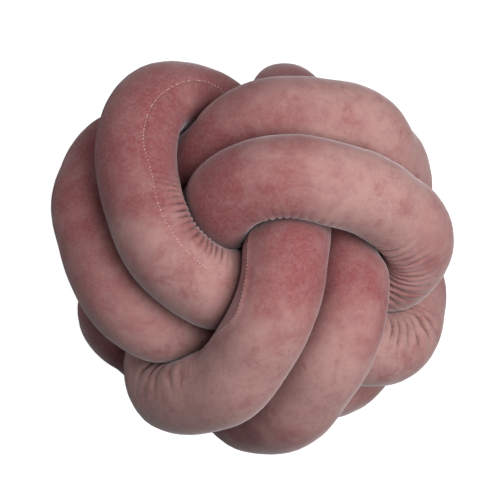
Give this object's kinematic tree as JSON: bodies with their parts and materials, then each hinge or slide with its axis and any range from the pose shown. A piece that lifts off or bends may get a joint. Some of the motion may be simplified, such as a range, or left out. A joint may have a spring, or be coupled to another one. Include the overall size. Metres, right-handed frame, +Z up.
{
  "type": "knot cushion",
  "caption": "Ball-shaped knot cushion: one long stuffed velvet tube tied into a round knot of crossing double bands.",
  "frame": {"origin": "middle of the base of the cushion's box, on the surface that the cushion lies on", "axes": "+Z up, out of the face where the three bands whirl round one gap; +Y towards the top of that face as pictured"},
  "size_m": [0.291, 0.2928, 0.2747],
  "materials": {
    "velvet": "dusty-pink velvet with a soft, crushed pile"
  },
  "bodies": {
    "root": {"tube": "velvet"}
  },
  "joints": []
}
